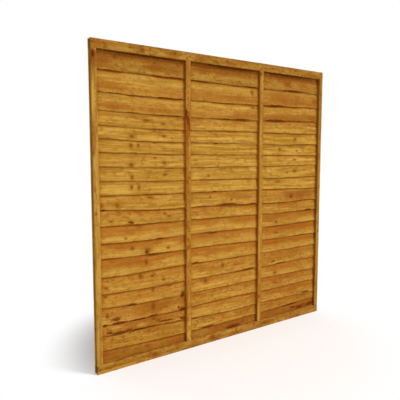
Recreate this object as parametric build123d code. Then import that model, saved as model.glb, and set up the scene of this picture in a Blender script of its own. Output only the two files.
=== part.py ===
from build123d import *

import os
from math import sqrt

# A lap fence panel. Waney-edged slats, each lapped over the one below, are held between a
# front frame and a back frame of sawn timber.
# The panel stands on z = 0 and is centred on x = 0 and y = 0. Its face looks along -Y.
# All sizes are in millimetres.

# Overall size
PANEL_WIDTH = 1830
PANEL_HEIGHT = 1830

# Frame timber, the same at the front and the back
RAIL_FACE = 50
STILE_FACE = 32
BATTEN_FACE = 32
TIMBER_DEPTH = 14
ARRIS = 0.8

# Slat timber
SLAT_THICKNESS = 4.5
SLAT_LAP = 20
SLAT_END_INSET = 2
TOP_SLAT_INSET = 4
BOTTOM_SLAT_INSET = 6

# Gaps between a slat and the slat below it, and between the thickest lap and the back frame
LAP_CLEARANCE = 0.3
FRAME_CLEARANCE = 0.2

# The bevel that the bark leaves on the front of a slat's lower edge
WANE_HEIGHT = 6
WANE_DEPTH = 1.6

# The slats from the top down: how much of each shows at its left end and at its right end,
# then how far its waney edge rises above the straight line between the two ends, at places
# evenly spaced along it. A negative rise hangs down.
SLATS = (
    (152, 165, (1, 0, -1, 0, 5)),
    (117, 101, (-5, -8, -8, -6, 1)),
    (96, 103, (-7, -11, -11, -8, 2)),
    (79, 86, (-8, -9, -3, -3, -2)),
    (73, 79, (-7, -8, -3, -6, -4)),
    (72, 78, (-4, -5, -3, -2, -3)),
    (81, 71, (-6, -9, -6, -5, -2)),
    (78, 84, (-5, -6, -4, -6, -5)),
    (77, 86, (-3, -3, -1, 0, -3)),
    (83, 93, (-8, -9, -5, -10, -6)),
    (86, 77, (-5, -3, -2, -5, -3)),
    (99, 88, (-5, 0, 2, -4, -2)),
    (83, 98, (-7, -2, 2, -2, 0)),
    (107, 85, (-1, 2, -1, -3, -1)),
    (92, 98, (-9, -8, -7, -6, 0)),
    (79, 89, (-14, -12, -7, -4, 0)),
    (101, 93, (-9, -2, 5, 2, 3)),
    (56, 86, (-6, -10, -16, -9, -3)),
    (93, 53, (-9, -17, -17, -13, -6)),
    (116, 107, (2, -1, 1, 3, -2)),
)

# Two scoops where the bark took an arris of the front frame: the height of the middle of
# each, its length along the arris, and its depth across the corner
BATTEN_SCOOP = (1385, 140, 7)
STILE_SCOOP = (1735, 90, 5)


def between(start, end, share):
    return start + (end - start) * share


def lean(foot, head, foot_above, slope_above):
    """The slope that lets a slat's face clear the back of the slat above, all over the lap."""
    slopes = []
    for height in (foot_above, head):
        back_above = SLAT_THICKNESS + slope_above * (height - foot_above - WANE_HEIGHT)
        slopes.append((back_above + LAP_CLEARANCE) / (height - foot - WANE_HEIGHT))
    return max(slopes)


def lay_slats():
    """Work out every slat from the top down, as a list of its cross-sections.

    A cross-section is (foot, head, slope): the heights of the waney edge and of the hidden
    upper edge, and how far the face leans back for each millimetre of height.
    """
    clear_height = PANEL_HEIGHT - TOP_SLAT_INSET - BOTTOM_SLAT_INSET
    left_scale = clear_height / sum(left for left, right, rises in SLATS)
    right_scale = clear_height / sum(right for left, right, rises in SLATS)

    layers = []
    left_above = right_above = PANEL_HEIGHT - TOP_SLAT_INSET
    lap = 0
    above = [(left_above, left_above, 0)] * (len(SLATS[0][2]) + 2)
    for shown_left, shown_right, rises in SLATS:
        left = left_above - shown_left * left_scale
        right = right_above - shown_right * right_scale
        sections = []
        for place, rise in enumerate((0, *rises, 0)):
            share = place / (len(rises) + 1)
            foot = between(left, right, share) + rise
            head = between(left_above, right_above, share) + lap
            foot_above, head_above, slope_above = above[place]
            sections.append((foot, head, lean(foot, head, foot_above, slope_above)))
        layers.append(sections)
        above, left_above, right_above, lap = sections, left, right, SLAT_LAP
    return layers


def set_back(foot, head, slope):
    """How far behind the front frame a slat's face lies at its head."""
    return slope * (head - foot - WANE_HEIGHT)


LAYERS = lay_slats()

# The gap between the two frames, wide enough for the thickest lap
deepest = max(set_back(*section) for sections in LAYERS for section in sections)
slot = deepest + SLAT_THICKNESS + FRAME_CLEARANCE

front_y = -(slot + TIMBER_DEPTH) / 2
back_y = (slot + TIMBER_DEPTH) / 2
face_y = -slot / 2 - TIMBER_DEPTH

top_rail_z = PANEL_HEIGHT - RAIL_FACE / 2
bottom_rail_z = RAIL_FACE / 2
upright_length = PANEL_HEIGHT - 2 * RAIL_FACE

# The battens part the width between the stiles into three equal bays
stile_x = (PANEL_WIDTH - STILE_FACE) / 2
batten_x = stile_x / 3


def rail(y, z):
    """A sawn timber across the whole width, with its long arrises eased."""
    timber = Box(PANEL_WIDTH, TIMBER_DEPTH, RAIL_FACE)
    timber = chamfer(timber.edges().filter_by(Axis.X), ARRIS)
    return Pos(0, y, z) * timber


def upright(face, x, y):
    """A sawn timber that stands between the rails, with its long arrises eased."""
    timber = Box(face, TIMBER_DEPTH, upright_length)
    timber = chamfer(timber.edges().filter_by(Axis.Z), ARRIS)
    return Pos(x, y, PANEL_HEIGHT / 2) * timber


def scoop(corner_x, side, height, length, depth):
    """A shallow round cut along a front arris: side 1 is a right-hand arris, -1 a left."""
    radius = (length**2 / 4 + depth**2) / (2 * depth)
    stand_off = (radius - depth) / sqrt(2)
    centre = (corner_x + side * stand_off, face_y - stand_off, height)
    return Plane(centre, z_dir=(1, side, 0)) * Cylinder(radius, 4 * depth)


def slat(sections):
    """A thin board that leans and twists between the frames, with a bevelled waney edge."""
    length = PANEL_WIDTH - 2 * SLAT_END_INSET
    profiles = []
    for place, (foot, head, slope) in enumerate(sections):
        x = length * (place / (len(sections) - 1) - 0.5)
        head_y = -slot / 2 + set_back(foot, head, slope)
        foot_y = -slot / 2 - slope * WANE_HEIGHT
        outline = Polygon(
            (-slot / 2, foot + WANE_HEIGHT),
            (foot_y + WANE_DEPTH, foot),
            (foot_y + SLAT_THICKNESS, foot),
            (head_y + SLAT_THICKNESS, head),
            (head_y, head),
            align=None,
        )
        profiles.append(Plane.YZ.offset(x) * outline)
    return loft(profiles)


def frame(side, y):
    """One frame's six timbers, by name."""
    return {
        f"top_rail_{side}": rail(y, top_rail_z),
        f"bottom_rail_{side}": rail(y, bottom_rail_z),
        f"left_stile_{side}": upright(STILE_FACE, -stile_x, y),
        f"right_stile_{side}": upright(STILE_FACE, stile_x, y),
        f"left_batten_{side}": upright(BATTEN_FACE, -batten_x, y),
        f"right_batten_{side}": upright(BATTEN_FACE, batten_x, y),
    }


pieces = frame("front", front_y) | frame("back", back_y)
pieces["left_batten_front"] -= scoop(-batten_x + BATTEN_FACE / 2, 1, *BATTEN_SCOOP)
pieces["left_stile_front"] -= scoop(-stile_x - STILE_FACE / 2, -1, *STILE_SCOOP)
for number, sections in enumerate(LAYERS, start=1):
    pieces[f"slat_{number:02d}"] = slat(sections)

os.makedirs("parts", exist_ok=True)
for name, piece in pieces.items():
    export_step(piece, f"parts/{name}.step")
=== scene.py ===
"""A lap fence panel of waney-edged slats between sawn frames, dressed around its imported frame."""

import math

import bmesh
import bpy
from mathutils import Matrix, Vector, noise
from mathutils.bvhtree import BVHTree


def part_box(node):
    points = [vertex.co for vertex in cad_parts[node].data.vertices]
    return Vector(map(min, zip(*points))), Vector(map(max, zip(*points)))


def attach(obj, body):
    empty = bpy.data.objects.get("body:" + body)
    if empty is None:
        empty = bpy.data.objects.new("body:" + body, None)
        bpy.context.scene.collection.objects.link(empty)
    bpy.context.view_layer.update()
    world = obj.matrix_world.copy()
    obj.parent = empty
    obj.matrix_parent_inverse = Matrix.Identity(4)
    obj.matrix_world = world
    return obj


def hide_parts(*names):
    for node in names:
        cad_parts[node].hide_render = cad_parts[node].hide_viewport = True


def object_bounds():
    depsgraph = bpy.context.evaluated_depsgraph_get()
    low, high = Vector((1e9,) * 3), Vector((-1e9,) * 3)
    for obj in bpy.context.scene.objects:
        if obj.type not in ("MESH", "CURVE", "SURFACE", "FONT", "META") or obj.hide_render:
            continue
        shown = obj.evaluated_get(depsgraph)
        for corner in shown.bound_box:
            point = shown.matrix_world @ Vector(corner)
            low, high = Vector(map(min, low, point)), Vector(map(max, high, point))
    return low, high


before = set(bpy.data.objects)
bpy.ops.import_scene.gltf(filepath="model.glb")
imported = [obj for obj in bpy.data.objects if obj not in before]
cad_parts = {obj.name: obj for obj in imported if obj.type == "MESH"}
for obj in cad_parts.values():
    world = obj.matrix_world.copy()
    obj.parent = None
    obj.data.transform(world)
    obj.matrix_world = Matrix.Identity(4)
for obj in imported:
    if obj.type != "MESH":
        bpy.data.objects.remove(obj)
CAD_LOW, CAD_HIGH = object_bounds()

bl_info = {
    "name": "Lap Fence Panel",
    "version": (1, 0, 0),
    "blender": (4, 5, 0),
    "location": "View3D > Sidebar > Fence Panel",
    "description": "Builds a lap fence panel of waney-edged slats between two sawn frames",
    "category": "Object",
}

MM = 0.001
X, Y, Z = range(3)

# Where the photograph was taken from, worked out from the panel's four corners
EYE = (-1.91, -2.37, 1.23)

# How far a seed of one moves the noise in a shape and in a finish, so that no two look alike
SHAPE_SHIFT = (3.7, 1.3)
FINISH_SHIFT = (7.31, 3.17, 5.23)

# Faces that meet at more than this angle keep a sharp edge between them
SHARP_EDGE = math.radians(32)

SLAT_NODES = sorted(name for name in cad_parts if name.startswith("slat_"))
UPRIGHTS = ("left_stile", "left_batten", "right_batten", "right_stile")
RAILS = ("top_rail", "bottom_rail")

# Each slat's own timber, from the top down: how ruddy it is, how light it is, how much redder
# the wood gets away from the waney edge, or beside that edge where this is below nought, and
# how dark the bark and the painted shade along its laps are
SLAT_TONES = (
    # The top slat's lower lightness is partly painted shade under the top rail
    (0.55, 0.87, 0.4, 0.75),
    (0.2, 0.98, -0.7, 0.7),
    (0.25, 0.98, -0.6, 0.6),
    (0.15, 0.98, 0.35, 0.35),
    (0.0, 1.01, 0.15, 0.3),
    (0.0, 1.02, 0.1, 0.3),
    (0.0, 1.02, 0.1, 0.3),
    (0.0, 1.02, 0.1, 0.3),
    (0.0, 1.02, 0.15, 0.35),
    (0.15, 0.99, 0.2, 0.5),
    (0.3, 0.99, 0.5, 0.45),
    (0.2, 0.99, 1.0, 0.45),
    (0.3, 1.0, 1.0, 0.5),
    (0.3, 0.99, 1.0, 0.4),
    (0.3, 0.99, 0.5, 0.4),
    (0.3, 1.0, 0.7, 0.4),
    (0.4, 0.98, 0.6, 0.4),
    (0.35, 0.97, 0.7, 0.5),
    (0.55, 0.95, 0.1, 0.45),
    (1.1, 0.84, 0.3, 0.5),
)

# The frame timbers, front and back alike: how ruddy and how light each is, and how light the
# painted bounce light and shade on its narrow sides is, or nought where they look like the face
TIMBER_TONES = {
    "top_rail": (0.45, 0.86, 0.0),
    "bottom_rail": (0.5, 0.84, 0.0),
    "left_stile": (0.0, 0.9, 0.0),
    "left_batten": (0.4, 0.92, 1.25),
    "right_batten": (0.15, 0.94, 0.93),
    "right_stile": (0.0, 0.83, 0.54),
}

# Knots in the slats, in millimetres: the place from the panel's middle towards its right, the
# height above the ground, and half the length and half the height. The places of these and of
# the marks and stains are the ones that the eye sees in the plane of the frame's face
SLAT_KNOTS = (
    (-778, 1745, 18, 10), (-535, 1740, 9, 6), (-590, 1416, 26, 8), (-478, 1401, 16, 7),
    (-683, 1325, 17, 10), (-473, 1331, 17, 8), (-535, 1357, 12, 4), (-688, 1275, 11, 14),
    (-643, 1275, 9, 13), (-537, 1291, 12, 4), (-535, 1204, 9, 6), (-473, 1176, 15, 10),
    (-690, 1166, 17, 15), (-686, 1095, 11, 14), (-468, 1106, 14, 7), (-688, 1040, 10, 15),
    (-641, 1040, 9, 13), (-780, 942, 8, 12), (-572, 976, 18, 5), (-872, 948, 8, 10),
    (-700, 843, 15, 8), (-820, 856, 12, 6), (-440, 857, 14, 5), (-470, 874, 10, 7),
    (-730, 752, 8, 6), (-592, 668, 22, 18), (-450, 668, 12, 7), (-690, 690, 14, 11),
    (-600, 600, 12, 18), (-640, 522, 13, 20), (-560, 512, 15, 8), (-855, 485, 14, 8),
    (-482, 477, 15, 8), (-860, 438, 13, 8), (-556, 432, 13, 20), (-440, 432, 18, 6),
    (-556, 325, 16, 26), (-852, 325, 10, 16), (-552, 250, 20, 10), (-522, 234, 20, 8),
    (213, 1632, 10, 16), (222, 1533, 14, 8), (-148, 1090, 8, 7), (-135, 955, 8, 8),
    (40, 930, 10, 6), (-30, 500, 12, 15), (-170, 420, 14, 16),
    (630, 1332, 12, 12), (478, 1263, 12, 9), (650, 1249, 11, 6), (633, 1185, 14, 6),
    (635, 1105, 16, 10), (555, 1093, 10, 6), (470, 1034, 14, 6), (600, 925, 22, 14),
    (452, 746, 12, 12), (455, 668, 18, 6), (430, 466, 16, 9), (448, 378, 15, 10),
    (452, 303, 13, 7), (750, 85, 18, 9), (-600, 95, 14, 7), (150, 86, 14, 8),
)

# Where bark or dried dip is left on the slats' faces and laps, and painted shadow under the
# curled edges of the lap lines and under the top rail, given as the knots are
DARK_MARKS = (
    # Along the lowest slats' lap lines at the left: bark, with painted shadow under curled edges
    (-798, 297, 32, 11), (-778, 273, 50, 10), (-868, 274, 16, 9), (-775, 215, 62, 10),
    (-722, 219, 26, 7), (-700, 363, 38, 9), (-840, 226, 20, 7), (-655, 207, 70, 8),
    (-580, 207, 50, 6), (-470, 222, 60, 6), (-655, 267, 70, 6), (-560, 270, 40, 7),
    (-598, 657, 12, 10), (-690, 838, 14, 7), (640, 84, 26, 8),
    (-348, 362, 18, 24), (-350, 270, 26, 16), (-347, 210, 26, 10), (-380, 285, 10, 10),
    (-620, 265, 20, 5), (-560, 643, 40, 6), (-510, 729, 28, 6), (-862, 921, 14, 7),
    (-702, 842, 12, 5), (60, 66, 70, 13), (10, 902, 85, 7), (230, 892, 40, 6),
    (190, 442, 65, 8), (-250, 187, 25, 6), (-160, 113, 60, 6), (500, 443, 60, 6),
    (770, 182, 55, 7), (822, 78, 46, 15), (708, 75, 44, 13), (600, 114, 100, 8),
    (430, 1557, 110, 7), (430, 1458, 110, 6), (600, 1669, 100, 7), (120, 1451, 80, 6),
    (-90, 1293, 20, 6), (-100, 988, 20, 6), (780, 811, 45, 8), (-110, 722, 45, 4),
    # The rows 1774 high, here and on the next line, are painted shadow under the top rail
    (603, 914, 14, 6), (-248, 547, 25, 6), (-600, 1774, 280, 9), (20, 1774, 240, 12),
    (560, 1774, 280, 10), (853, 1752, 8, 24),
)

# Broad patches of colour, in millimetres: the place and height as above, half the length, half
# the height, and how deep the colour is, which is below nought where the wood has stayed pale.
# Most are where the dip has taken more deeply; the rows 1752 and 1754 high are painted shadow
# under the top rail, and the other rows 300 to 330 long darken a whole bay, band by band
STAINS = (
    (-510, 1715, 95, 30, 0.8), (-850, 1730, 45, 28, 0.8), (-800, 1590, 90, 22, 0.5),
    (-470, 1602, 100, 14, 0.4), (-780, 1490, 110, 26, 0.6), (-660, 1430, 60, 10, 0.5),
    (-650, 905, 40, 14, 0.6), (-640, 813, 26, 16, 0.7), (-520, 708, 30, 14, 0.7),
    (-745, 712, 100, 20, 0.45), (-730, 612, 145, 30, 0.6), (-420, 532, 65, 16, 0.5),
    (-350, 330, 45, 40, 0.8), (-450, 160, 135, 26, 0.35), (-180, 1740, 65, 32, 0.9),
    (-50, 1722, 60, 20, 0.6), (100, 1592, 90, 9, 0.6), (150, 1480, 115, 24, 0.6),
    (45, 1370, 66, 14, 1.0), (100, 950, 145, 30, 0.6), (-140, 708, 125, 18, 0.5),
    (-200, 505, 60, 26, 0.5), (-230, 334, 55, 12, 0.7), (-260, 262, 35, 18, 0.6),
    (250, 235, 40, 40, 0.7), (180, 165, 65, 18, 0.6), (120, 321, 115, 18, 0.35),
    (500, 1738, 75, 26, 0.8), (545, 1712, 50, 24, 1.0), (850, 1700, 32, 44, 0.6),
    (480, 1612, 110, 30, 0.6),
    (640, 1618, 70, 26, 0.5), (835, 1610, 45, 32, 0.9), (500, 1480, 230, 26, 0.6),
    (810, 1482, 65, 26, 0.8), (560, 940, 65, 30, 0.6), (695, 930, 60, 26, 0.8),
    (780, 930, 50, 22, 0.5), (460, 781, 125, 18, 0.5), (565, 695, 140, 20, 0.7),
    (460, 597, 125, 18, 0.45), (645, 521, 70, 14, 0.45), (520, 640, 60, 10, 0.7),
    (553, 409, 50, 16, 0.4), (570, 332, 120, 16, 0.6), (445, 240, 85, 18, 0.4),
    (785, 73, 95, 20, 0.9), (70, 78, 90, 18, 0.8), (-720, 62, 80, 14, 0.6),
    # Painted shadow under the top rail, across the three bays
    (-600, 1752, 330, 20, 0.6), (0, 1754, 330, 24, 0.95), (600, 1754, 330, 26, 1.1),
    (600, 870, 330, 60, 0.3), (600, 780, 330, 60, 0.4), (600, 695, 330, 60, 0.45),
    (600, 600, 330, 60, 0.4), (600, 510, 330, 60, 0.45), (600, 420, 330, 60, 0.45),
    (600, 330, 330, 60, 0.45), (600, 240, 330, 60, 0.4), (600, 160, 330, 60, 0.5),
    (-600, 240, 330, 50, 0.85), (-560, 320, 230, 50, 0.4), (90, 490, 40, 14, 0.6),
    (600, 1620, 330, 70, 0.45), (600, 1480, 330, 40, 0.35), (600, 1440, 330, 24, 0.4),
    (720, 930, 190, 50, 0.5), (-380, 1700, 60, 30, 0.5), (600, 80, 330, 50, 0.5),
    (-800, 250, 45, 10, -0.5), (-845, 240, 20, 16, 0.9), (600, 930, 330, 50, 0.35),
    (-600, 392, 310, 24, 0.35), (0, 1590, 300, 55, 0.35), (600, 1590, 300, 40, 0.25),
    (-640, 232, 40, 12, -0.5), (-230, 575, 60, 14, -0.5), (-200, 385, 90, 12, -0.4),
    (60, 125, 120, 8, -0.6), (-100, 1530, 120, 12, -0.5), (130, 1526, 90, 10, -0.6),
    (480, 212, 60, 8, -0.4), (-150, 130, 110, 7, -0.5), (-230, 215, 60, 10, -0.5),
)

# Knots in the frame timbers, in millimetres: the place along the timber, given as for a slat's
# knot, the place across it from its middle, and the radius
TIMBER_KNOTS = {
    "top_rail_front": ((-610, 0, 9), (-395, 6, 9), (0, 4, 8), (625, 10, 6)),
    "bottom_rail_front": ((-550, 4, 9), (-110, 2, 11), (355, 6, 8), (690, -8, 7)),
    "left_stile_front": ((1752, -2, 14), (905, -6, 6)),
    "left_batten_front": ((700, -6, 6), (1080, 5, 6)),
    "right_batten_front": ((1760, -8, 10), (232, -2, 8), (1210, 8, 6)),
    "right_stile_front": ((640, 5, 7),),
}

# Stains on the frame timbers, measured as their knots are, with sizes and depth as above
TIMBER_STAINS = {
    "top_rail_front": (
        (-640, 4, 60, 20, 0.7), (-400, 0, 70, 22, 0.6), (-190, 2, 70, 16, 0.5),
        (430, 0, 120, 20, 0.5), (760, -4, 80, 20, 0.5),
    ),
    "bottom_rail_front": (
        (-555, 3, 60, 20, 0.9), (-255, -4, 60, 16, 0.6), (-80, 0, 70, 22, 0.8),
        (80, -6, 70, 14, 0.8), (370, 4, 70, 18, 0.8), (650, -6, 90, 16, 0.6),
    ),
    "left_stile_front": (
        (1722, 0, 70, 26, 1.0), (1290, -10, 110, 12, 0.7), (1530, -7, 95, 14, -0.9),
        (620, 0, 260, 10, -0.5),
    ),
    "left_batten_front": (
        (1410, 2, 120, 24, 1.0), (1290, -10, 130, 12, 0.7), (960, 6, 140, 12, 0.6),
        (430, -6, 160, 14, 0.6),
    ),
    "right_batten_front": (
        (1580, -12, 160, 9, 0.6), (1050, -12, 200, 9, 0.7), (330, -13, 200, 9, 0.6),
    ),
    "right_stile_front": ((1500, 6, 160, 14, 0.4), (230, 0, 140, 22, 0.5)),
}

# Where bark is left on the frame timbers, given as their stains are, but for the depth
TIMBER_MARKS = {
    "left_stile_front": ((1750, -5, 24, 8),),
    "left_batten_front": (
        (1466, -13, 34, 7), (1432, -3, 32, 8), (1396, 9, 36, 9), (1352, 17, 34, 7),
    ),
    "right_batten_front": ((226, -8, 12, 4),),
}

# Where a slat's free edge has curled forward: the slat's number from the top, the middle of the
# curl and its half length from the panel's middle, and how far it stands out, in millimetres
CURLS = (
    (2, -620, 90, 3.0),
    (2, 430, 125, 4.0),
    (3, 150, 135, 3.5),
    (3, 430, 125, 4.0),
    (6, -430, 110, 2.5),
    (8, -430, 110, 2.5),
    (10, 80, 195, 4.5),
    (11, -640, 70, 3.0),
    (13, -540, 60, 3.0),
    (14, -210, 70, 2.5),
    (17, -395, 80, 3.5),
    (17, -790, 70, 3.0),
    (18, -780, 90, 4.0),
    (18, -400, 85, 3.5),
)


class PanelSizes(bpy.types.PropertyGroup):
    """Sizes of the detail that the frame doesn't give."""

    station: bpy.props.FloatProperty(
        name="Station", description="Spacing of the cuts along each board",
        default=10 * MM, min=2 * MM, unit="LENGTH",
    )
    edge_ripple: bpy.props.FloatProperty(
        name="Edge ripple", description="How far a waney edge strays from its smooth line",
        default=1.8 * MM, min=0, unit="LENGTH",
    )
    wane: bpy.props.FloatProperty(
        name="Wane", description="How far up the face the bark's bevel may reach",
        default=9 * MM, min=1 * MM, unit="LENGTH",
    )
    bow: bpy.props.FloatProperty(
        name="Bow", description="How far a slat's free edge bows out between two uprights",
        default=2.2 * MM, min=0, unit="LENGTH",
    )
    wander: bpy.props.FloatProperty(
        name="Wander", description="How far a sawn timber strays from straight",
        default=0.5 * MM, min=0, unit="LENGTH",
    )
    batten_wander: bpy.props.FloatProperty(
        name="Batten wander", description="The same for the waney left batten",
        default=2 * MM, min=0, unit="LENGTH",
    )
    face_inset: bpy.props.FloatProperty(
        name="Face inset", description="How far a sawn face lies behind the nail heads",
        default=0.35 * MM, min=0, unit="LENGTH",
    )
    nail_radius: bpy.props.FloatProperty(
        name="Nail head", description="Radius of a nail head",
        default=1.9 * MM, min=0, unit="LENGTH",
    )


class PanelColours(bpy.types.PropertyGroup):
    """Colours of the treated timber and the nails."""

    golden: bpy.props.FloatVectorProperty(
        name="Golden", description="The treated softwood", subtype="COLOR", size=3,
        default=(0.36, 0.159, 0.0125), min=0, max=1,
    )
    honey: bpy.props.FloatVectorProperty(
        name="Honey", description="The lighter streaks of the grain", subtype="COLOR", size=3,
        default=(0.645, 0.362, 0.064), min=0, max=1,
    )
    russet: bpy.props.FloatVectorProperty(
        name="Russet", description="The redder patches of the dip", subtype="COLOR", size=3,
        default=(0.35, 0.1, 0.008), min=0, max=1,
    )
    # Painted bounce light and shade, red: on the uprights' narrow sides, and darkened in the slats'
    # laps
    shade_and_bounce_red: bpy.props.FloatVectorProperty(
        name="Ember", description="The sawn timbers' narrow sides", subtype="COLOR", size=3,
        default=(0.62, 0.158, 0.004), min=0, max=1,
    )
    # Also the colour of the painted shadow among the slats' dark marks
    umber: bpy.props.FloatVectorProperty(
        name="Umber", description="Where the dip gathers and dries dark", subtype="COLOR",
        size=3, default=(0.135, 0.022, 0.001), min=0, max=1,
    )
    bark: bpy.props.FloatVectorProperty(
        name="Bark", description="What is left of the bark on a waney edge", subtype="COLOR",
        size=3, default=(0.115, 0.022, 0.001), min=0, max=1,
    )
    knot: bpy.props.FloatVectorProperty(
        name="Knot", description="The middle of a knot", subtype="COLOR", size=3,
        default=(0.2, 0.078, 0.007), min=0, max=1,
    )
    nail: bpy.props.FloatVectorProperty(
        name="Nail", description="The dull steel of a nail head", subtype="COLOR", size=3,
        default=(0.16, 0.09, 0.05), min=0, max=1,
    )


class StageLooks(bpy.types.PropertyGroup):
    """The camera, the lights and the floor."""

    camera_place: bpy.props.FloatVectorProperty(
        name="Camera", description="Where the camera stands", subtype="TRANSLATION", size=3,
        default=EYE,
    )
    camera_yaw: bpy.props.FloatProperty(
        name="Yaw", description="How far the camera turns from +Y towards +X",
        subtype="ANGLE", default=math.radians(35.8),
    )
    camera_pitch: bpy.props.FloatProperty(
        name="Pitch", description="How far the camera looks down",
        subtype="ANGLE", default=math.radians(5.7),
    )
    lens: bpy.props.FloatProperty(
        name="Lens", description="Focal length in millimetres", default=42.0, min=1,
    )
    key_strength: bpy.props.FloatProperty(
        name="Key", description="Strength of the key light", default=2.8, min=0,
    )
    key_side: bpy.props.FloatProperty(
        name="Key side", description="How far the key light stands to the right of the face",
        subtype="ANGLE", default=math.radians(39),
    )
    key_height: bpy.props.FloatProperty(
        name="Key height", description="How far the key light stands above the ground",
        subtype="ANGLE", default=math.radians(52),
    )
    key_softness: bpy.props.FloatProperty(
        name="Softness", description="How wide the key light looks from the panel",
        subtype="ANGLE", default=math.radians(13),
    )
    sky_strength: bpy.props.FloatProperty(
        name="Sky", description="Strength of the even light from all round",
        default=0.48, min=0,
    )
    floor_colour: bpy.props.FloatVectorProperty(
        name="Floor", description="The pale floor", subtype="COLOR", size=3,
        default=(0.86, 0.86, 0.86), min=0, max=1,
    )


class Value:
    """One socket's value in a finish, so that shader maths reads as Python."""

    def __init__(self, finish, socket):
        self.finish = finish
        self.socket = socket

    def __add__(self, other):
        return self.finish.maths("ADD", self, other)

    def __sub__(self, other):
        return self.finish.maths("SUBTRACT", self, other)

    def __rsub__(self, other):
        return self.finish.maths("SUBTRACT", other, self)

    def __mul__(self, other):
        return self.finish.maths("MULTIPLY", self, other)

    def __truediv__(self, other):
        return self.finish.maths("DIVIDE", self, other)

    def __pow__(self, other):
        return self.finish.maths("POWER", self, other)

    __radd__ = __add__
    __rmul__ = __mul__


class Finish:
    """The node tree of a material, or of the world."""

    def __init__(self, owner):
        self.owner = owner
        owner.use_nodes = True
        self.tree = owner.node_tree
        self.tree.nodes.clear()

    def node(self, kind, settings, inputs, output=0):
        """A node of that kind: its settings first, then the values or links of its sockets."""
        made = self.tree.nodes.new("ShaderNode" + kind)
        for name, setting in settings.items():
            setattr(made, name, setting)
        for name, value in inputs.items():
            if isinstance(value, Value):
                self.tree.links.new(value.socket, made.inputs[name])
            else:
                made.inputs[name].default_value = value
        return Value(self, made.outputs[output]) if made.outputs else None

    def maths(self, operation, *values):
        """A Math node."""
        return self.node("Math", {"operation": operation}, dict(enumerate(values)))

    def blend(self, factor, start, end):
        """The start colour where the factor is 0, and the end colour where it is 1."""
        inputs = {0: factor, 6: opaque(start), 7: opaque(end)}
        return self.node("Mix", {"data_type": "RGBA"}, inputs, output=2)

    def rise(self, value, low, high):
        """0 below low, 1 above high, and a smooth rise between them."""
        inputs = {"Value": value, "From Min": low, "From Max": high}
        return self.node("MapRange", {"interpolation_type": "SMOOTHSTEP"}, inputs)

    def noise(self, place, stretch, seed, detail=2.0, roughness=0.5):
        """Noise from 0 to 1, with so many features to the metre along each axis."""
        shift = tuple(seed * step for step in FINISH_SHIFT)
        spot = self.node(
            "VectorMath", {"operation": "MULTIPLY_ADD"}, {0: place, 1: stretch, 2: shift}
        )
        inputs = {"Vector": spot, "Scale": 1.0, "Detail": detail, "Roughness": roughness}
        return self.node("TexNoise", {}, inputs)

    def end(self, kind, shader):
        """Ends the tree with its output node."""
        self.node("Output" + kind, {}, {"Surface": shader})
        return self.owner


def opaque(colour):
    """A plain colour with its alpha. A linked one stays as it is."""
    return colour if isinstance(colour, Value) else (*colour, 1.0)


def lit(colour, light):
    """A colour made lighter or darker."""
    return tuple(min(channel * light, 1.0) for channel in colour)


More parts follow.
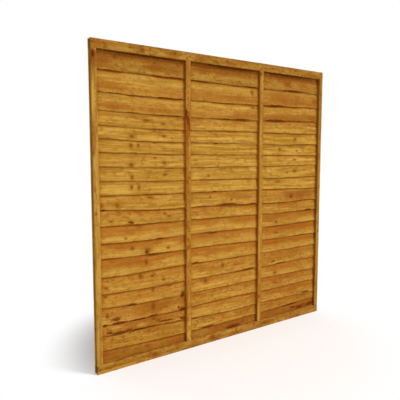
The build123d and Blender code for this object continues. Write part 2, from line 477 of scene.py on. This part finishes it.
class TimberFinish(Finish):
    """Softwood in a golden dip, on a board's own grain coordinates.

    The attribute "grain" holds the place along the board, through it and across it from its
    waney edge or its middle. In the blends, the first number is how strongly a layer shows,
    and the two numbers of a rise are where on a pattern, or how far off, it starts and ends.
    """

    RING_WIDTH = 4.5 * MM
    PITH_WANDER = 50 * MM
    KNOT_PUSH = 7 * MM  # how far a knot bends the rings aside
    GRAIN_RELIEF = 0.8 * MM
    MARK_DEPTH = (1.5 * MM, 3.5 * MM)

    # Each pattern's own number, how many features to the metre it has along, through and
    # across the board, its detail and its roughness
    PATTERNS = {
        "pith": (1, (1.1, 4, 4), 2.0, 0.5),
        "wobble": (2, (14, 60, 60), 2.0, 0.5),
        "fibre": (3, (14, 520, 520), 3.0, 0.5),
        "streak": (4, (3.2, 55, 55), 4.0, 0.62),
        "patch": (5, (6, 16, 16), 3.0, 0.55),
        "mottle": (6, (24, 42, 42), 3.0, 0.6),
        "fleck": (7, (55, 230, 230), 2.0, 0.5),
        "saw_teeth": (8, (340, 12, 12), 1.0, 0.5),
        "ragged_bark": (9, (22, 34, 34), 3.0, 0.5),
        "ragged_mark": (10, (70, 110, 110), 3.0, 0.5),
        "broken_bark": (11, (5, 0, 0), 2.0, 0.5),
        "soak": (12, (3, 9, 9), 2.0, 0.5),
        "flank_soak": (13, (6, 0, 0), 2.0, 0.5),
        "stipple": (14, (36, 60, 60), 4.0, 0.6),
    }

    def __init__(self, name, seed, ruddy, light, length_axis):
        super().__init__(bpy.data.materials.new(name))
        self.seed = seed
        self.ruddy = ruddy
        self.length_axis = length_axis
        self.colours = bpy.context.scene.panel_colours
        self.golden = lit(self.colours.golden, light)
        self.honey = lit(self.colours.honey, light)
        self.russet = lit(self.colours.russet, light)
        self.grain = self.attribute("grain", "Vector")
        self.along, self.through, self.across = (
            self.node("SeparateXYZ", {}, {0: self.grain}, output=axis) for axis in (X, Y, Z)
        )
        self.ragged = self.pattern("ragged_mark") - 0.5

    def attribute(self, name, output="Fac"):
        """What the mesh says at each of its corners."""
        return self.node("Attribute", {"attribute_name": name}, {}, output)

    def pattern(self, name):
        """One of the patterns, laid along this board's grain."""
        number, stretch, detail, roughness = self.PATTERNS[name]
        return self.noise(self.grain, stretch, self.seed + number, detail, roughness)

    def nearest(self, marks, roughness):
        """The least distance to any of these marks, in their own radii, with ragged outlines."""
        least = None
        for place, height, length, width in marks:
            run = (self.along - place) / length
            climb = (self.across - height) / width
            reach = (run * run + climb * climb) ** 0.5
            least = self.maths("MINIMUM", least, reach) if least else reach
        return least + roughness * self.ragged

    def facing(self, axis):
        """How squarely a face looks along an axis, either way: 1 where it looks straight."""
        normal = self.node("NewGeometry", {}, {}, output="Normal")
        turned = self.node("SeparateXYZ", {}, {0: normal}, output=axis)
        return self.maths("ABSOLUTE", turned)

    def paint(self, pith, knots, stains, marks):
        """Builds the whole finish and gives its material."""
        near_knot = self.nearest(knots, 0.5) if knots else None
        ring = self.rings(pith, near_knot)
        fibre = self.pattern("fibre")
        streak = self.pattern("streak")
        colour = self.soak_dip(streak)
        for stain in stains:
            colour = self.draw_stain(colour, *stain)
        colour = self.draw_grain(colour, ring, fibre)
        if knots:
            colour = self.draw_knots(colour, near_knot)
        colour = self.finish_edges(colour)
        if marks:
            colour = self.draw_marks(colour, marks)
        colour = self.darken_ends(colour)

        height = 0.6 * fibre + 0.35 * ring + 0.45 * self.pattern("saw_teeth") + 0.25 * streak
        relief = {"Strength": 0.55, "Distance": self.GRAIN_RELIEF, "Height": height}
        shader = self.node("BsdfPrincipled", {}, {
            "Base Color": colour,
            "Roughness": 0.74 + 0.14 * fibre,
            "Normal": self.node("Bump", {}, relief),
            "Specular IOR Level": 0.03,
        })
        return self.end("Material", shader)

    def rings(self, pith, near_knot):
        """Growth rings round the pith, which wanders to and fro along the board."""
        aside, behind = pith
        side = self.across - aside + self.PITH_WANDER * (self.pattern("pith") - 0.5)
        if near_knot:
            side = side + self.KNOT_PUSH * self.maths("EXPONENT", near_knot * near_knot * -0.2)
        depth = self.through + behind
        distance = (side * side + depth * depth) ** 0.5 / self.RING_WIDTH
        return self.maths("FRACT", distance + 1.5 * self.pattern("wobble")) ** 2.2

    def soak_dip(self, streak):
        """The dip takes unevenly, so honey, golden and russet run into each other."""
        colour = self.blend(self.rise(streak, 0.29, 0.71), self.golden, self.honey)
        mottle = self.rise(self.pattern("mottle"), 0.47, 0.74)
        colour = self.blend(0.65 * mottle, colour, lit(self.golden, 0.66))
        patch = self.pattern("patch")
        redness = self.rise(patch + 0.4 * (streak - 0.5), 0.62 - 0.3 * self.ruddy, 0.8)
        colour = self.blend(0.3 * self.ruddy + 0.6 * redness, colour, self.russet)
        # Ruddy boards are the rougher ones
        stipple = self.rise(self.pattern("stipple"), 0.53, 0.63)
        colour = self.blend(1.75 * min(self.ruddy, 0.4) * stipple, colour, lit(self.russet, 0.7))
        return self.tint_heartwood(colour, patch)

    def tint_heartwood(self, colour, patch):
        """Leaves the colour as it is, on timbers that show no heartwood."""
        return colour

    def draw_stain(self, colour, place, height, length, width, depth):
        """A broad patch of deeper dip, or of pale wood where the depth is below nought."""
        deep = 1 - self.rise(self.nearest([(place, height, length, width)], 1.6), 0.35, 1.25)
        taken = lit(self.russet, 0.85) if depth > 0 else lit(self.honey, 1.1)
        return self.blend(0.78 * abs(depth) * deep, colour, taken)

    def draw_grain(self, colour, ring, fibre):
        """Growth rings, fine dark fibre and flecks."""
        colour = self.blend(0.32 * ring, colour, lit(self.russet, 0.7))
        colour = self.blend(0.35 * self.rise(fibre, 0.52, 0.75), colour, lit(self.golden, 0.45))
        fleck = self.rise(self.pattern("fleck"), 0.68, 0.8)
        return self.blend(0.2 * fleck, colour, self.colours.umber)

    def draw_knots(self, colour, near_knot):
        """A halo of redder grain, a brown knot with rings of its own, and a dark rim."""
        halo = 1 - self.rise(near_knot, 0.5, 2.5)
        colour = self.blend(0.5 * halo, colour, lit(self.russet, 0.8))
        inside = 1 - self.rise(near_knot, 0.6, 0.95)
        colour = self.blend(0.6 * inside, colour, self.colours.knot)
        rim = 1 - self.rise(self.maths("ABSOLUTE", near_knot - 0.75), 0.0, 0.2)
        pip = 1 - self.rise(near_knot, 0.1, 0.45)
        turns = self.maths("FRACT", near_knot * 4.3) * inside
        dark = self.maths("MAXIMUM", 0.45 * turns, self.maths("MAXIMUM", 0.55 * rim, pip))
        return self.blend(0.6 * dark, colour, self.colours.umber)

    def draw_marks(self, colour, marks):
        """Leaves bark and dried dip, and on the slats painted shadow, on the front face only."""
        front = 1 - self.rise(self.through, *self.MARK_DEPTH)
        deep = 1 - self.rise(self.nearest(marks, 1.3), 0.5, 1.3)
        return self.blend(0.9 * deep * front, colour, self.colours.umber)

    def darken_ends(self, colour):
        """Cut ends drink more of the dip than faces do."""
        end = self.rise(self.facing(self.length_axis), 0.7, 0.95)
        return self.blend(0.55 * end, colour, lit(self.russet, 0.6))


class SlatFinish(TimberFinish):
    """A slat's timber: bark on its waney edge, painted shade in its laps and beside uprights.

    The attribute "lap" holds the distance from the lap in front or behind, and "post" the
    distance from the nearest upright's side.
    """

    HEART_LINE = (22 * MM, 70 * MM)
    SAP_LINE = (2 * MM, 16 * MM)
    BARK_REACH = (0.5 * MM, 6 * MM)
    BARK_STRAY = 12 * MM
    # How far the painted shade reaches under a lap, and beside an upright
    LAP_SHADE_REACH = (0, 17 * MM)
    POST_SHADE_REACH = (-2 * MM, 32 * MM)

    def __init__(self, name, seed, tone):
        # The fourth tone sets both the bark and the painted shade along the laps
        ruddy, light, self.heart, self.bark = tone
        super().__init__(name, seed, ruddy, light, X)

    def tint_heartwood(self, colour, patch):
        """Reddens the wood away from the waney edge, or beside it on a board cut the other way."""
        away = self.rise(self.across + 0.09 * (patch - 0.5), *self.HEART_LINE)
        if self.heart < 0:
            away = (1 - away) * self.rise(self.across, *self.SAP_LINE)
        colour = self.blend(0.62 * abs(self.heart) * away, colour, lit(self.russet, 1.1))
        return self.blend(0.3 * abs(self.heart) * (1 - away), colour, self.honey)

    def finish_edges(self, colour):
        """Leaves bark along the waney edge, and painted shade in the laps and beside uprights."""
        ragged = self.BARK_STRAY * (self.pattern("ragged_bark") - 0.5)
        broken = self.rise(self.pattern("broken_bark"), 0.35, 0.65)
        bark_and_shade_depth = self.bark * (0.3 + 1.4 * broken)
        bark = 1 - self.rise(self.across + ragged, *self.BARK_REACH)
        colour = self.blend(bark * bark_and_shade_depth, colour, self.colours.bark)
        # Painted shade in the lap, dark red, as deep as the bark
        corner = 1 - self.rise(self.attribute("lap") + 0.6 * ragged, *self.LAP_SHADE_REACH)
        colour = self.blend(1.5 * corner * bark_and_shade_depth, colour, lit(self.colours.shade_and_bounce_red, 0.48))
        # Painted shade beside the uprights, in patches
        beside = 1 - self.rise(self.attribute("post") + 2.5 * ragged, *self.POST_SHADE_REACH)
        soaked = beside * self.rise(self.pattern("soak"), 0.25, 0.6)
        return self.blend(0.72 * soaked, colour, lit(self.russet, 0.9))


class SawnFinish(TimberFinish):
    """A frame timber's finish, with painted bounce light and shade on its narrow sides."""

    def __init__(self, name, seed, tone, length_axis):
        ruddy, light, self.painted_side_light = tone
        super().__init__(name, seed, ruddy, light, length_axis)

    def finish_edges(self, colour):
        """Paints red bounce light and shade on an upright's narrow sides, as its tone says."""
        if not self.painted_side_light:
            return colour
        # Painted bounce light and shade on the sides that face along X
        side = self.rise(self.facing(X), 0.5, 0.9)
        colour = self.blend(0.6 * side, colour, lit(self.colours.shade_and_bounce_red, self.painted_side_light))
        # Russet patches over the painted light of the sides
        soaked = self.rise(self.pattern("flank_soak"), 0.45, 0.62)
        return self.blend(0.5 * soaked * side, colour, lit(self.russet, 0.75))


def dull_steel():
    """The head of a nail, gone dull in the dip."""
    finish = Finish(bpy.data.materials.new("dull_steel"))
    place = finish.node("TexCoord", {}, {}, output="Object")
    stain = finish.noise(place, (900, 900, 900), seed=3.0)
    nail = bpy.context.scene.panel_colours.nail
    colour = finish.blend(finish.rise(stain, 0.4, 0.65), nail, lit(nail, 0.45))
    shader = finish.node("BsdfPrincipled", {}, {
        "Base Color": colour, "Roughness": 0.5 + 0.3 * stain, "Metallic": 0.6,
    })
    return finish.end("Material", shader)


def put(name, data):
    """Puts a new object into the scene."""
    added = bpy.data.objects.new(name, data)
    bpy.context.scene.collection.objects.link(added)
    return added


def put_mesh(name, bm, material):
    """Puts a bmesh into the scene, in its material."""
    mesh = bpy.data.meshes.new(name)
    bm.to_mesh(mesh)
    bm.free()
    mesh.materials.append(material)
    return put(name, mesh)


def add_piece(name, bm, material, slot, *nodes):
    """Makes a piece of the panel from a bmesh, and hides the CAD nodes it stands for."""
    piece = put_mesh(name, bm, material)
    piece.data.shade_smooth()
    piece.data.set_sharp_from_angle(angle=SHARP_EDGE)
    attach(piece, "root")
    if nodes:
        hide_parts(*nodes)


def sizes():
    """The sizes that the scene holds."""
    return bpy.context.scene.panel_sizes


def rough(place, scale, seed):
    """Smooth noise from -1 to 1 along a line, with so many features to the metre."""
    across, up = (seed * step for step in SHAPE_SHIFT)
    return noise.noise(Vector((place * scale, across, up)))


class SlatShape:
    """Reads a slat's edges and faces from its CAD node, at any place along it."""

    OUTSIDE = 1.0  # how far off a ray starts
    END_MARGIN = 0.5 * MM  # how near to a slat's end a ray may go
    FOOT_PROBE = 3 * MM  # how deep in the slot the lower edge is looked for
    HEAD_PROBE = 8 * MM  # how deep in the slot the upper edge is looked for
    ABOVE_FOOT = 12 * MM  # the lower of the two places where the face's depth is taken
    BELOW_HEAD = 4 * MM  # the upper one

    def __init__(self, node):
        self.node = node
        self.low, self.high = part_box(node)
        self.slot_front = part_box("left_stile_front")[1].y
        source = bmesh.new()
        source.from_mesh(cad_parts[node].data)
        self.tree = BVHTree.FromBMesh(source)
        source.free()

    def hit(self, start, direction):
        """The first point that a ray meets."""
        found = self.tree.ray_cast(Vector(start), Vector(direction))[0]
        if found is None:
            raise RuntimeError(f"a ray from {start} missed {self.node}")
        return found

    def within(self, x):
        """The nearest place along the slat at which a ray surely meets it."""
        return min(max(x, self.low.x + self.END_MARGIN), self.high.x - self.END_MARGIN)

    def foot(self, x):
        """The height of the waney edge."""
        below = self.low.z - self.OUTSIDE
        start = (self.within(x), self.slot_front + self.FOOT_PROBE, below)
        return self.hit(start, (0, 0, 1)).z

    def head(self, x):
        """The height of the upper edge."""
        above = self.high.z + self.OUTSIDE
        start = (self.within(x), self.slot_front + self.HEAD_PROBE, above)
        return self.hit(start, (0, 0, -1)).z

    def section(self, x):
        """Foot and head height, the face's depth at the foot, its slope, and the thickness."""
        x, foot, head = self.within(x), self.foot(x), self.head(x)
        lower, upper = foot + self.ABOVE_FOOT, head - self.BELOW_HEAD
        near = self.hit((x, self.slot_front - self.OUTSIDE, lower), (0, 1, 0)).y
        far = self.hit((x, self.slot_front - self.OUTSIDE, upper), (0, 1, 0)).y
        back = self.hit((x, self.slot_front + self.OUTSIDE, lower), (0, -1, 0)).y
        slope = (far - near) / (upper - lower)
        return foot, head, near - slope * (lower - foot), slope, back - near


class FENCE_OT_slats(bpy.types.Operator):
    """Build the waney-edged slats over their CAD nodes"""

    bl_idname = "fence.slats"
    bl_label = "Slats"

    ROWS = 12
    CROWD = 2.2  # how much closer the rows lie towards the waney edge
    SEED_STEP = 1.9
    RIPPLE_REACH = 14 * MM
    BEVEL_DEPTH = 2.4 * MM
    BEVEL_CURVE = 1.6
    HELD = 20 * MM  # how far from an upright's middle a slat is held flat
    FREE = 110 * MM  # how much further off it is free to bow

    # Added to a slat's number, so that each kind of unevenness goes its own way along it
    FINE_RIPPLE, BEVEL, BOW = 40, 80, 120

    def execute(self, context):
        uprights = [middle_of(f"{name}_front").x for name in UPRIGHTS]
        top_edge, bottom_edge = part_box("top_rail_front")[0].z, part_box("bottom_rail_back")[1].z
        shapes = [SlatShape(node) for node in SLAT_NODES]
        covers = [lambda x: top_edge, *(shape.foot for shape in shapes)]
        backers = [*(shape.head for shape in shapes[1:]), lambda x: bottom_edge]
        slats = zip(SLAT_NODES, shapes, covers, backers, SLAT_TONES)
        for number, (node, shape, cover, backer, tone) in enumerate(slats, start=1):
            finish = SlatFinish(f"{node}_timber", number * self.SEED_STEP, tone)
            knots, stains, marks = (
                list(self.shown(rows, shape, cover)) for rows in (SLAT_KNOTS, STAINS, DARK_MARKS)
            )
            timber = finish.paint(self.pith(number), knots, stains, marks)
            bm = self.board(shape, cover, backer, number, uprights)
            add_piece(f"{node}_board", bm, timber, "slat_timber", node)
        return {"FINISHED"}

    def pith(self, number):
        """How far aside and how far behind a board the middle of its tree was."""
        return 0.04 + 0.03 * math.sin(number * 2.4), 0.07 + 0.03 * math.cos(number * 1.7)

    def shown(self, rows, shape, cover):
        """The rows that show on a slat, in metres, with heights above its waney edge.

        A slat lies behind the plane that the rows are measured in, so each place slides on
        along the line of sight until it meets the slat.
        """
        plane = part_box("left_stile_front")[0].y
        slide = (shape.slot_front - plane) / (plane - EYE[1])
        for row in rows:
            place, height, length, width, *depth = metres(row)
            x = place + (place - EYE[0]) * slide
            z = height + (height - EYE[2]) * slide
            spill = width if rows is DARK_MARKS else 0
            if shape.foot(x) - spill <= z < cover(x) + spill:
                yield x, z - shape.foot(x), length, width, *depth

    def board(self, shape, cover, backer, number, uprights):
        """A closed board of even cells, laid over the CAD slat and given its waney edge.

        cover and backer give the height of the edge above it in front, and below it behind.
        """
        bm = bmesh.new()
        bmesh.ops.create_cube(bm, size=1.0)
        bmesh.ops.translate(bm, verts=bm.verts, vec=(0.5, 0.5, 0.5))
        length = shape.high.x - shape.low.x
        cut(bm, X, round(length / sizes().station))
        cut(bm, Z, self.ROWS)
        grain = bm.verts.layers.float_vector.new("grain")
        lap = bm.verts.layers.float.new("lap")
        post = bm.verts.layers.float.new("post")
        batten_low, batten_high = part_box("left_batten_front")
        half_face = (batten_high.x - batten_low.x) / 2
        sections = {}
        for vert in bm.verts:
            share, back, climb = vert.co
            x = shape.low.x + share * length
            key = round(share, 6)
            if key not in sections:
                sections[key] = (*shape.section(x), cover(x), backer(x))
            foot, head, depth, slope, thickness, covered, backed = sections[key]
            rise = climb**self.CROWD
            height = (head - foot) * rise
            fade = max(0.0, 1 - height / self.RIPPLE_REACH)
            ripple = self.ripple(x, number) * sizes().edge_ripple * fade
            y = depth + slope * height + thickness * back
            if back < 0.5:
                y += self.bevel(x, height, number)
            y -= self.bow(x, number, uprights) * (1 - rise) ** 2
            vert.co = (x, y, foot + height + ripple)
            vert[grain] = (x, thickness * back, height)
            vert[lap] = covered - foot - height if back < 0.5 else foot + height - backed
            vert[post] = min(abs(x - upright) for upright in uprights) - half_face
        return bm

    def ripple(self, x, number):
        """The small lumps of a waney edge, from -1 to 1."""
        return 0.65 * rough(x, 11, number) + 0.35 * rough(x, 38, number + self.FINE_RIPPLE)

    def bevel(self, x, height, number):
        """How far the bark's bevel sets the face back near the waney edge."""
        reach = sizes().wane * (0.55 + 0.45 * rough(x, 9, number + self.BEVEL))
        return self.BEVEL_DEPTH * max(0.0, 1 - height / reach) ** self.BEVEL_CURVE

    def bow(self, x, number, uprights):
        """How far the free edge stands out, which is nothing at an upright."""
        clear = min(abs(x - upright) for upright in uprights)
        reach = sizes().bow * (0.5 + 0.5 * rough(x, 1.9, number + self.BOW))
        for slat, place, half, stand in CURLS:
            if slat == number:
                reach += stand * MM * soft_step(1 - abs(x - place * MM) / (half * MM))
        return reach * soft_step((clear - self.HELD) / self.FREE)


def middle_of(node):
    """The middle of a CAD node's box."""
    low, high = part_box(node)
    return (low + high) / 2


def metres(row):
    """A row of a table with its four lengths in metres, and what follows them as it is."""
    return (*(size * MM for size in row[:4]), *row[4:])


def soft_step(share):
    """A smooth rise from 0 to 1, level at both ends."""
    share = min(max(share, 0.0), 1.0)
    return share * share * (3 - 2 * share)


def cut(bm, axis, pieces):
    """Cuts every edge that lies along an axis into so many pieces, all the way round."""
    edges = []
    for edge in bm.edges:
        run = edge.verts[1].co - edge.verts[0].co
        if abs(run[axis]) > 0.99 * run.length:
            edges.append(edge)
    bmesh.ops.subdivide_edges(bm, edges=edges, cuts=pieces - 1, use_grid_fill=True)


class FENCE_OT_frame(bpy.types.Operator):
    """Build the rails, stiles and battens of one frame over their CAD nodes"""

    bl_idname = "fence.frame"
    bl_label = "Frame"

    side: bpy.props.EnumProperty(
        name="Side", description="Which of the two frames",
        items=(("front", "Front", "The frame on the face"), ("back", "Back", "The frame behind")),
    )

    SEED_STEP = 4.3
    BACK_SEED = 50
    FACE_SEED = 20
    PITH_ASIDE = 20 * MM
    PITH_BEHIND = 45 * MM
    KNOT_LENGTH = 1.35  # of its height
    WELD = 0.01 * MM
    FLAT = math.radians(0.2)
    ON_PLANE = 1e-7
    ARRIS_CELL = 4 * MM  # tells the corners of a timber's cross-section apart
    NIBBLE = 0.35 * MM  # how far an arris strays by itself

    def execute(self, context):
        for number, name in enumerate((*RAILS, *UPRIGHTS), start=1):
            node = f"{name}_{self.side}"
            axis = X if name in RAILS else Z
            seed = number * self.SEED_STEP + (self.BACK_SEED if self.side == "back" else 0)
            finish = SawnFinish(f"{node}_timber", seed, TIMBER_TONES[name], axis)
            knots = [
                metres((place, across, self.KNOT_LENGTH * radius, radius))
                for place, across, radius in TIMBER_KNOTS.get(node, ())
            ]
            stains = [metres(row) for row in TIMBER_STAINS.get(node, ())]
            marks = [metres(row) for row in TIMBER_MARKS.get(node, ())]
            pith = (self.PITH_ASIDE * math.cos(seed), self.PITH_BEHIND)
            timber = finish.paint(pith, knots, stains, marks)
            bm = self.timber(node, axis, seed)
            add_piece(f"{node}_sawn", bm, timber, "frame_timber", node)
        return {"FINISHED"}

    def timber(self, node, axis, seed):
        """A copy of the CAD timber, cut across at even steps and moved a little off straight."""
        low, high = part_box(node)
        bm = bmesh.new()
        bm.from_mesh(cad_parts[node].data)
        bmesh.ops.remove_doubles(bm, verts=bm.verts, dist=self.WELD)
        bmesh.ops.dissolve_limit(bm, angle_limit=self.FLAT, verts=bm.verts, edges=bm.edges)
        normal = Vector((0, 0, 0))
        normal[axis] = 1
        steps = round((high[axis] - low[axis]) / sizes().station)
        for step in range(1, steps):
            bmesh.ops.bisect_plane(
                bm, geom=bm.verts[:] + bm.edges[:] + bm.faces[:], dist=self.ON_PLANE,
                plane_co=low.lerp(high, step / steps), plane_no=normal,
            )
        waney = node == "left_batten_front"
        self.wander(bm, node, axis, seed, sizes().batten_wander if waney else sizes().wander)
        return bm

    def wander(self, bm, node, axis, seed, reach):
        """Moves each cross-section off straight, and each arris a little off the next."""
        middle = middle_of(node)
        wide = Z if axis == X else X
        outward = -1 if self.side == "front" else 1
        grain = bm.verts.layers.float_vector.new("grain")
        for vert in bm.verts:
            along = vert.co[axis]
            corner = round((vert.co[wide] - middle[wide]) / self.ARRIS_CELL) + 0.5
            vert[grain] = (along, vert.co.y - middle.y, vert.co[wide] - middle[wide])
            sway = reach * rough(along, 2.6, seed)
            nibble = self.NIBBLE * rough(along, 30, seed + corner)
            vert.co[wide] += sway + nibble
            face = rough(along, 7, seed + self.FACE_SEED + corner)
            inside = sizes().face_inset * (1 + 0.6 * face)
            if outward * (vert.co.y - middle.y) > 0:
                vert.co.y -= outward * inside
        for vert in bm.verts:
            for side in (X, Y, Z):
                vert.co[side] = min(max(vert.co[side], CAD_LOW[side]), CAD_HIGH[side])


class FENCE_OT_nails(bpy.types.Operator):
    """Build the heads of the nails that hold the frames through the slats"""

    bl_idname = "fence.nails"
    bl_label = "Nails"

    FACES = 10
    THICK = 0.9 * MM
    TAPER = 0.8
    ABOVE_EDGE = 12 * MM
    STRAY_ASIDE = 6 * MM
    STRAY_UP = 3 * MM
    RAIL_NAILS = ((0.3, -5 * MM), (0.7, 5 * MM))  # share of the rail's height, place aside

    def execute(self, context):
        steel = dull_steel()
        shapes = [SlatShape(node) for node in SLAT_NODES]
        for side, y, outward in (("front", CAD_LOW.y, -1), ("back", CAD_HIGH.y, 1)):
            bm = bmesh.new()
            for number, upright in enumerate(UPRIGHTS):
                low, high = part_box(f"{upright}_{side}")
                for row, shape in enumerate(shapes):
                    x = (low.x + high.x) / 2 + self.STRAY_ASIDE * rough(row, 1.7, number + 7)
                    z = shape.foot(x) + self.ABOVE_EDGE + self.STRAY_UP * rough(row, 2.3, number)
                    if low.z < z < high.z:
                        self.head(bm, Vector((x, y, z)), outward)
            for rail in RAILS:
                low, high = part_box(f"{rail}_{side}")
                for upright in UPRIGHTS:
                    x = middle_of(f"{upright}_{side}").x
                    for share, aside in self.RAIL_NAILS:
                        z = low.z + (high.z - low.z) * share
                        self.head(bm, Vector((x + aside, y, z)), outward)
            add_piece(f"nails_{side}", bm, steel, "frame_timber")
        return {"FINISHED"}

    def head(self, bm, place, outward):
        """One low round head, its top level with the frame's outer face."""
        radius = sizes().nail_radius
        turn = Vector((0, outward, 0)).to_track_quat("Z", "Y").to_matrix().to_4x4()
        turn.translation = place - Vector((0, outward * self.THICK / 2, 0))
        bmesh.ops.create_cone(
            bm, cap_ends=True, segments=self.FACES, radius1=radius, radius2=self.TAPER * radius,
            depth=self.THICK, matrix=turn,
        )


class FENCE_OT_stage(bpy.types.Operator):
    """Build the floor, the lights and the camera"""

    bl_idname = "fence.stage"
    bl_label = "Stage"

    FLOOR_RADIUS = 14.0
    FADE_START = 0.72  # how far from the panel's middle the floor starts to turn white
    FADE_END = 1.2

    def execute(self, context):
        looks = context.scene.stage_looks
        self.floor(looks)
        self.sky(looks)
        self.key_light(looks)
        self.camera(looks)
        context.scene.view_settings.view_transform = "Standard"
        return {"FINISHED"}

    def floor(self, looks):
        """A pale floor that fades to white away from the panel and keeps its shadow."""
        bm = bmesh.new()
        bmesh.ops.create_circle(bm, cap_ends=True, segments=64, radius=self.FLOOR_RADIUS)
        finish = Finish(bpy.data.materials.new("pale_floor"))
        place = finish.node("TexCoord", {}, {}, output="Object")
        away = finish.node("VectorMath", {"operation": "LENGTH"}, {0: place}, output="Value")
        white = self.seen(finish) * finish.rise(away, self.FADE_START, self.FADE_END)
        matt = finish.node("BsdfDiffuse", {}, {"Color": opaque(looks.floor_colour)})
        glow = finish.node("Emission", {}, {"Color": (1, 1, 1, 1), "Strength": 1.0})
        shader = finish.node("MixShader", {}, {0: white, 1: matt, 2: glow})
        floor = put_mesh("floor", bm, finish.end("Material", shader))

    def seen(self, finish):
        """1 for rays that show the background: straight, reflected or refracted."""
        rays = [
            finish.node("LightPath", {}, {}, output=name)
            for name in ("Is Camera Ray", "Is Glossy Ray", "Is Transmission Ray")
        ]
        return finish.maths("MAXIMUM", rays[0], finish.maths("MAXIMUM", rays[1], rays[2]))

    def sky(self, looks):
        """Even light from all round, and white where the background shows."""
        world = bpy.data.worlds.new("sky")
        bpy.context.scene.world = world
        finish = Finish(world)
        strength = looks.sky_strength + (1 - looks.sky_strength) * self.seen(finish)
        inputs = {"Color": (1, 1, 1, 1), "Strength": strength}
        finish.end("World", finish.node("Background", {}, inputs))

    def key_light(self, looks):
        """A soft light on the panel's face, from up and to the right, as even as daylight."""
        lamp = bpy.data.lights.new("key", "SUN")
        lamp.energy = looks.key_strength
        lamp.angle = looks.key_softness
        self.aim(put("key", lamp), -looks.key_side, -looks.key_height)

    def camera(self, looks):
        """The camera at the photograph's angle."""
        lens = bpy.data.cameras.new("camera")
        lens.lens = looks.lens
        camera = put("camera", lens)
        camera.location = looks.camera_place
        self.aim(camera, looks.camera_yaw, -looks.camera_pitch)
        bpy.context.scene.camera = camera

    def aim(self, thing, turn, rise):
        """Points a light or a camera so far round from +Y towards +X, and so far up."""
        way = Vector((
            math.sin(turn) * math.cos(rise), math.cos(turn) * math.cos(rise), math.sin(rise)
        ))
        thing.rotation_euler = way.to_track_quat("-Z", "Y").to_euler()


class FENCE_PT_sidebar(bpy.types.Panel):
    """The steps that build the panel, in order"""

    bl_idname = "FENCE_PT_sidebar"
    bl_label = "Fence Panel"
    bl_space_type = "VIEW_3D"
    bl_region_type = "UI"
    bl_category = "Fence Panel"

    def draw(self, context):
        layout = self.layout
        layout.operator(FENCE_OT_slats.bl_idname)
        layout.operator(FENCE_OT_frame.bl_idname, text="Front frame").side = "front"
        layout.operator(FENCE_OT_frame.bl_idname, text="Back frame").side = "back"
        layout.operator(FENCE_OT_nails.bl_idname)
        layout.operator(FENCE_OT_stage.bl_idname)


CLASSES = (
    PanelSizes, PanelColours, StageLooks, FENCE_OT_slats, FENCE_OT_frame, FENCE_OT_nails,
    FENCE_OT_stage, FENCE_PT_sidebar,
)


def register():
    for cls in CLASSES:
        bpy.utils.register_class(cls)
    bpy.types.Scene.panel_sizes = bpy.props.PointerProperty(type=PanelSizes)
    bpy.types.Scene.panel_colours = bpy.props.PointerProperty(type=PanelColours)
    bpy.types.Scene.stage_looks = bpy.props.PointerProperty(type=StageLooks)


def unregister():
    del bpy.types.Scene.stage_looks
    del bpy.types.Scene.panel_colours
    del bpy.types.Scene.panel_sizes
    for cls in reversed(CLASSES):
        bpy.utils.unregister_class(cls)


def main():
    register()
    bpy.ops.fence.slats()
    bpy.ops.fence.frame(side="front")
    bpy.ops.fence.frame(side="back")
    bpy.ops.fence.nails()
    bpy.ops.fence.stage()


if __name__ == "__main__":
    main()
